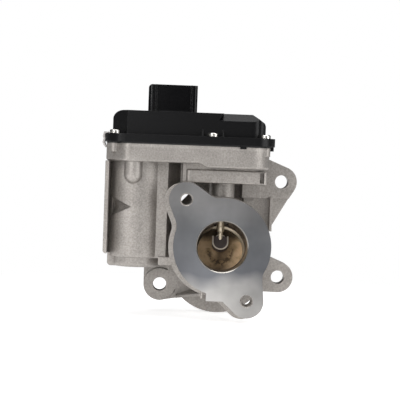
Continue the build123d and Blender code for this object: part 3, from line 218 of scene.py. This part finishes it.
def cast_aluminium():
    """Grainy casting with painted shade by height, a machined inlet face with a painted reflection and
    painted side shade, and soot in its gas passage.
    """
    material, tree, output = new_material("cast_aluminium_finish")
    links = tree.links
    cast = principled(tree, (0.45, 0.43, 0.4), 0.62, 0.44)
    patches = [(0.3, (0.41, 0.381, 0.353)), (0.7, (0.53, 0.493, 0.46))]
    grains = greys(((0.34, 0.66), (0.66, 1.0)))
    mottle = ramp(tree, noise(tree, MOTTLE_SCALE, 6.0), patches)
    speckle = ramp(tree, noise(tree, GRAIN_SCALE, 3.0, 0.7), grains)
    x, y, z = place(tree)
    # Painted shade by height: darker on the gearbox pan's wall, lighter again on the raised band at its
    # open end
    tones = ((0.0, 0.91), (0.72, 0.87), (0.8, 0.81), (0.995, 0.81), (1.0, 0.93))
    band = ramp(tree, spread(tree, z, *SHADE_BAND_HEIGHTS), greys(tones))
    links.new(multiply(tree, multiply(tree, mottle, speckle), band), cast.inputs["Base Color"])
    grain = bump(tree, noise(tree, GRAIN_SCALE, 2.0), 0.5, GRAIN_DEPTH, soft_edges(tree, CAST_EDGE))
    links.new(bump(tree, noise(tree, SPECK_SCALE, 2.0), 0.35, SPECK_DEPTH, grain), cast.inputs["Normal"])

    bored = principled(tree, (0.4, 0.38, 0.35), 1.0, 0.3)

    machined = principled(tree, (0.4, 0.41, 0.43), 1.0, 0.3)
    # Painted reflection on the machined face: bright at the bottom, dark from the middle up, clouded by
    # noise, with painted shade towards both sides
    drift = math_node(tree, "MULTIPLY_ADD", noise(tree, 30.0, 2.0), MACHINED_DRIFT, z)
    stops = [
        (0.0, (0.58, 0.56, 0.54)),
        (0.34, (0.46, 0.45, 0.44)),
        (0.44, (0.175, 0.18, 0.195)),
        (0.62, (0.20, 0.205, 0.215)),
        (0.85, (0.29, 0.285, 0.285)),
    ]
    reflection_clouding = ramp(tree, noise(tree, 45.0, 3.0), greys(((0.35, 0.78), (0.65, 1.0))))
    painted_reflection = ramp(tree, spread(tree, drift, *MACHINED_REFLECTION_HEIGHTS), stops)
    tones = ((0.0, 0.82), (0.3, 1.0), (0.6, 1.0), (1.0, 0.7))
    fade = ramp(tree, spread(tree, x, *MACHINED_SIDE_SHADE), greys(tones))
    links.new(multiply(tree, multiply(tree, painted_reflection, reflection_clouding), fade), machined.inputs["Base Color"])
    turning = noise(tree, 900.0, 2.0, 0.5, (0.15, 1.0, 1.0))
    links.new(bump(tree, turning, 0.12, TURNING_DEPTH), machined.inputs["Normal"])

    sooted = principled(tree, (0.12, 0.1, 0.08), 0.35, 0.62)
    crusts = [(0.35, (0.06, 0.048, 0.036)), (0.7, (0.30, 0.24, 0.19))]
    links.new(ramp(tree, noise(tree, 260.0, 5.0, 0.65), crusts), sooted.inputs["Base Color"])
    links.new(bump(tree, noise(tree, 700.0, 3.0), 0.6, GRAIN_DEPTH), sooted.inputs["Normal"])

    at_face = math_node(tree, "LESS_THAN", y, MACHINED_TO_Y)
    axis_z = spread(tree, y, *PASSAGE_KNEES, 0.0, OUTLET_HEIGHT)
    across = math_node(tree, "POWER", x, 2.0)
    upward = math_node(tree, "POWER", math_node(tree, "SUBTRACT", z, axis_z), 2.0)
    reach = math_node(tree, "SQRT", math_node(tree, "ADD", across, upward))
    inside = math_node(tree, "LESS_THAN", reach, PASSAGE_REACH)
    skin = blend_shaders(tree, inside, cast.outputs[0], bored.outputs[0])
    skin = blend_shaders(tree, at_face, skin, machined.outputs[0])
    soot = math_node(tree, "MULTIPLY", inside, spread(tree, y, *SOOT_START))
    links.new(blend_shaders(tree, soot, skin, sooted.outputs[0]), output.inputs["Surface"])
    return material


def plain(name, color, metallic, roughness):
    """One colour finish with softened edges."""
    material, tree, output = new_material(name)
    shader = principled(tree, color, metallic, roughness)
    tree.links.new(soft_edges(tree, FINE_EDGE), shader.inputs["Normal"])
    tree.links.new(shader.outputs[0], output.inputs["Surface"])
    return material


def black_plastic():
    """Black moulding with a fine spark texture, smoothest on the plug."""
    material, tree, output = new_material("black_plastic_finish")
    shader = principled(tree, (0.003, 0.003, 0.0035), 0.0, COVER_ROUGHNESS, **{"Specular IOR Level": 0.22})
    polish = spread(tree, place(tree)["Z"], *PLUG_FOOT, COVER_ROUGHNESS, PLUG_ROUGHNESS)
    tree.links.new(polish, shader.inputs["Roughness"])
    spark = noise(tree, SPARK_SCALE, 2.0)
    texture = bump(tree, spark, 0.15, SPARK_DEPTH, soft_edges(tree, COVER_EDGE))
    tree.links.new(texture, shader.inputs["Normal"])
    tree.links.new(shader.outputs[0], output.inputs["Surface"])
    return material


def heat_tinted():
    """Straw and brown heat tint, lighter at the sides as painted light, with painted shade at the top, a
    speckled painted shadow below the hub, a painted highlight on the hub's rim and painted shade in its
    grey dish.
    """
    material, tree, output = new_material("heat_tinted_finish")
    links = tree.links
    tint = principled(tree, (0.3, 0.24, 0.16), 0.25, 0.5)
    x, y, z = place(tree)
    stops = [(0.3, (0.42, 0.29, 0.16)), (0.5, (0.86, 0.64, 0.4)), (0.7, (0.98, 0.77, 0.52))]
    mottle = ramp(tree, noise(tree, 130.0, 6.0, 0.65), stops)
    # Painted light: lighter towards both sides of the disc, where the bore shades it, and darker across
    # the middle
    painted_side_light = [
        (0.0, (1.0, 1.0, 1.0)),
        (0.34, (0.62, 0.58, 0.53)),
        (0.5, (0.2, 0.175, 0.15)),
        (1.0, (1.0, 0.96, 0.92)),
    ]
    drift = math_node(tree, "MULTIPLY_ADD", noise(tree, 180.0, 4.0), FLAP_DRIFT, x)
    fade = ramp(tree, spread(tree, drift, FLAP_DRIFT / 2 - FLAP_REACH, FLAP_DRIFT / 2 + FLAP_REACH), painted_side_light)
    # Painted shade at the top of the disc, a little darker at the bottom too
    top_shade_levels = greys(((0.0, 0.75), (0.45, 1.0), (0.68, 0.95), (0.82, 0.2)))
    painted_top_shade = ramp(tree, spread(tree, z, FLAP_MIDDLE[2] - FLAP_REACH, FLAP_MIDDLE[2] + FLAP_REACH), top_shade_levels)
    links.new(multiply(tree, multiply(tree, mottle, fade), painted_top_shade), tint.inputs["Base Color"])
    links.new(soft_edges(tree, FINE_EDGE), tint.inputs["Normal"])

    # Painted shadow of the hub: a speckled dark arc below it
    painted_hub_shadow = principled(tree, (0.1, 0.07, 0.04), 0.1, 0.6)
    shadow_flecks = [(0.46, (0.05, 0.028, 0.01)), (0.54, (0.3, 0.2, 0.1))]
    links.new(ramp(tree, noise(tree, 520.0, 2.0, 0.5), shadow_flecks), painted_hub_shadow.inputs["Base Color"])
    sunk = math_node(tree, "MULTIPLY", math_node(tree, "SUBTRACT", z, HUB_SHADOW_HEIGHT), HUB_SHADOW_FLATTEN)
    sweep = math_node(tree, "ADD", math_node(tree, "POWER", x, 2.0), math_node(tree, "POWER", sunk, 2.0))
    arc = greys(((0.0, 0.0), (0.35, 1.0), (0.65, 1.0), (1.0, 0.0)))
    ring = ramp(tree, spread(tree, math_node(tree, "SQRT", sweep), *HUB_SHADOW_ARC), arc)
    below = math_node(tree, "LESS_THAN", z, HUB_SHADOW_HEIGHT)
    hub_shadow_mask = math_node(tree, "MULTIPLY", math_node(tree, "MULTIPLY", ring, below), HUB_SHADOW_STRENGTH)
    skin = blend_shaders(tree, hub_shadow_mask, tint.outputs[0], painted_hub_shadow.outputs[0])

    # Painted shade in the hub's dish and a painted highlight on its rim
    painted_dish_shade = principled(tree, (0.13, 0.108, 0.104), 0.4, 0.5)
    painted_rim_highlight = principled(tree, (0.85, 0.78, 0.68), 0.5, 0.4)
    tilt = math.radians(FLAP_TILT)
    forward = math_node(tree, "MULTIPLY", math_node(tree, "SUBTRACT", y, FLAP_MIDDLE[1]), -math.cos(tilt))
    upward = math_node(tree, "MULTIPLY", math_node(tree, "SUBTRACT", z, FLAP_MIDDLE[2]), math.sin(tilt))
    height = math_node(tree, "ADD", forward, upward)
    on_hub = math_node(tree, "GREATER_THAN", height, HUB_FOOT_HEIGHT)
    on_rim = math_node(tree, "GREATER_THAN", height, HUB_RIM_HEIGHT)
    hub = blend_shaders(tree, on_rim, painted_dish_shade.outputs[0], painted_rim_highlight.outputs[0])
    links.new(blend_shaders(tree, on_hub, skin, hub), output.inputs["Surface"])
    return material


def hard_steel():
    """Worn bright steel, darkened by painted shade at the left of the seat."""
    material, tree, output = new_material("hard_steel_finish")
    shader = principled(tree, BRIGHT_STEEL, 0.75, 0.42)
    tones = [(0.0, SHADED_STEEL), (1.0, BRIGHT_STEEL)]
    # Painted shade: the steel turns dark left of the shaft
    painted_seat_shade = ramp(tree, spread(tree, place(tree)["X"], *SEAT_SHADE), tones)
    tree.links.new(painted_seat_shade, shader.inputs["Base Color"])
    tree.links.new(soft_edges(tree, FINE_EDGE), shader.inputs["Normal"])
    tree.links.new(shader.outputs[0], output.inputs["Surface"])
    return material


def finishes():
    """One finish for each material slot of the record."""
    return {
        "cast_aluminium": cast_aluminium(),
        "hard_steel": hard_steel(),
        "bronze": plain("bronze_finish", (0.55, 0.40, 0.22), 1.0, 0.35),
        "black_rubber": plain("black_rubber_finish", (0.02, 0.02, 0.02), 0.0, 0.7),
        "spring_steel": plain("spring_steel_finish", (0.45, 0.43, 0.42), 1.0, 0.35),
        "black_plastic": black_plastic(),
        "screw_steel": plain("screw_steel_finish", (0.78, 0.76, 0.72), 1.0, 0.2),
        "tinned_brass": plain("tinned_brass_finish", (0.7, 0.64, 0.45), 1.0, 0.25),
        "board_green": plain("board_green_finish", (0.03, 0.16, 0.07), 0.0, 0.3),
        "plated_steel": plain("plated_steel_finish", (0.55, 0.55, 0.53), 1.0, 0.32),
        "magnet_grey": plain("magnet_grey_finish", (0.09, 0.09, 0.095), 0.4, 0.5),
        "brown_plastic": plain("brown_plastic_finish", (0.2, 0.11, 0.05), 0.0, 0.45),
        "carbon": plain("carbon_finish", (0.03, 0.03, 0.03), 0.1, 0.6),
        "laminated_steel": plain("laminated_steel_finish", (0.3, 0.3, 0.31), 0.9, 0.45),
        "copper": plain("copper_finish", (0.75, 0.36, 0.2), 1.0, 0.3),
        "gear_plastic": plain("gear_plastic_finish", (0.72, 0.67, 0.55), 0.0, 0.4),
        "heat_tinted_steel": heat_tinted(),
    }


def dress(frame):
    """Gives each CAD node the finish of its material slot."""
    finish = finishes()
    for entry in frame["record"]["subparts"]:
        node = frame["nodes"][entry["node"]]
        node.data.materials.clear()
        node.data.materials.append(finish[entry["material_slot"]])


# Set


def pale_ray(tree, camera, glossy):
    """Strength of the pale surroundings for camera, transmission and glossy rays."""
    path = add(tree, "ShaderNodeLightPath")
    seen = math_node(tree, "MAXIMUM", path.outputs["Is Camera Ray"], path.outputs["Is Transmission Ray"])
    direct = math_node(tree, "MULTIPLY", seen, camera)
    mirrored = math_node(tree, "MULTIPLY", path.outputs["Is Glossy Ray"], glossy)
    return math_node(tree, "MAXIMUM", direct, mirrored)


def surroundings():
    """World that looks white to the camera, pale in reflections and gives little light."""
    world = bpy.data.worlds.new("studio")
    world.use_nodes = True
    bpy.context.scene.world = world
    tree = world.node_tree
    tree.nodes.clear()
    output = add(tree, "ShaderNodeOutputWorld")
    backdrop = add(tree, "ShaderNodeBackground")
    backdrop.inputs["Color"].default_value = (1.0, 1.0, 1.0, 1.0)
    strength = math_node(tree, "MAXIMUM", pale_ray(tree, 1.0, ROOM_SHEEN), ROOM_GLOW)
    tree.links.new(strength, backdrop.inputs["Strength"])
    tree.links.new(backdrop.outputs[0], output.inputs["Surface"])


def pale_floor():
    """Pale floor that keeps the shadow near the part and fades to white further out."""
    bpy.ops.mesh.primitive_plane_add(size=FLOOR_SIZE, location=(0.0, 0.0, FLOOR_Z))
    floor = bpy.context.object
    floor.name = "floor"
    material, tree, output = new_material("floor_finish")
    near = principled(tree, (0.9, 0.9, 0.9), 0.0, 0.9)
    near.inputs["Emission Color"].default_value = (1.0, 1.0, 1.0, 1.0)
    tree.links.new(pale_ray(tree, FLOOR_GLOW, FLOOR_SHEEN), near.inputs["Emission Strength"])
    white = add(tree, "ShaderNodeEmission")
    spot = add(tree, "ShaderNodeTexCoord")
    reach = add(tree, "ShaderNodeVectorMath", operation="LENGTH")
    tree.links.new(spot.outputs["Object"], reach.inputs[0])
    path = add(tree, "ShaderNodeLightPath")
    fade = spread(tree, reach.outputs["Value"], *FLOOR_FADE)
    far = math_node(tree, "MULTIPLY", path.outputs["Is Camera Ray"], fade)
    tree.links.new(blend_shaders(tree, far, near.outputs[0], white.outputs[0]), output.inputs["Surface"])
    floor.data.materials.append(material)


def lamp(name, azimuth, elevation, distance, size, watts):
    """Soft box aimed at the part; azimuth 0 is in front of it and grows towards +X."""
    turn, lift = math.radians(azimuth), math.radians(elevation)
    reach = Vector((math.sin(turn) * math.cos(lift), -math.cos(turn) * math.cos(lift), math.sin(lift)))
    data = bpy.data.lights.new(name, "AREA")
    data.shape = "RECTANGLE"
    data.size, data.size_y = size
    data.energy = watts
    thing = bpy.data.objects.new(name, data)
    bpy.context.collection.objects.link(thing)
    thing.location = Vector(AIM) + distance * reach
    thing.rotation_euler = (-reach).to_track_quat("-Z", "Y").to_euler()


def lamps():
    """Narrow key from the front left, a broad one on the right, a top light and a low fill."""
    for spec in LAMPS:
        lamp(*spec)


def camera():
    """Camera at the photograph's angle, framing the inlet bore at its pixel."""
    turn, dip, roll = (math.radians(a) for a in (CAMERA_TURN, CAMERA_DIP, CAMERA_ROLL))
    forward = Vector((math.sin(turn) * math.cos(dip), math.cos(turn) * math.cos(dip), -math.sin(dip)))
    level = Vector((math.cos(turn), -math.sin(turn), 0.0))
    upright = level.cross(forward)
    right = math.cos(roll) * level + math.sin(roll) * upright
    up = -math.sin(roll) * level + math.cos(roll) * upright
    across = (ORIGIN_PIXEL[0] - FRAME_PIXELS / 2) * METRES_PER_PIXEL
    down = (ORIGIN_PIXEL[1] - FRAME_PIXELS / 2) * METRES_PER_PIXEL
    place = -(CAMERA_DISTANCE * forward + across * right - down * up)
    data = bpy.data.cameras.new("camera")
    data.sensor_width = SENSOR_WIDTH
    data.lens = CAMERA_DISTANCE / METRES_PER_PIXEL * SENSOR_WIDTH / FRAME_PIXELS
    data.clip_start = 0.01
    thing = bpy.data.objects.new("camera", data)
    bpy.context.collection.objects.link(thing)
    thing.matrix_world = Matrix(
        (
            (right.x, up.x, -forward.x, place.x),
            (right.y, up.y, -forward.y, place.y),
            (right.z, up.z, -forward.z, place.z),
            (0.0, 0.0, 0.0, 1.0),
        )
    )
    bpy.context.scene.camera = thing


with open("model.json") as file:
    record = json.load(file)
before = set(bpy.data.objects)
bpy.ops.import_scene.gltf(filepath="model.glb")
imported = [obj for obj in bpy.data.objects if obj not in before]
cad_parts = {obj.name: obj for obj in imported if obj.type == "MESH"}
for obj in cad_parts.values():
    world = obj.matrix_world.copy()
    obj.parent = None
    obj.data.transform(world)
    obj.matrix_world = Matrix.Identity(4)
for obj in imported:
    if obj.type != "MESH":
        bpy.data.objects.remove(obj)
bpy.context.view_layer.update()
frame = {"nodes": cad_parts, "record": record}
dress(frame)
surroundings()
pale_floor()
lamps()
camera()
bpy.context.scene.view_settings.view_transform = "Standard"
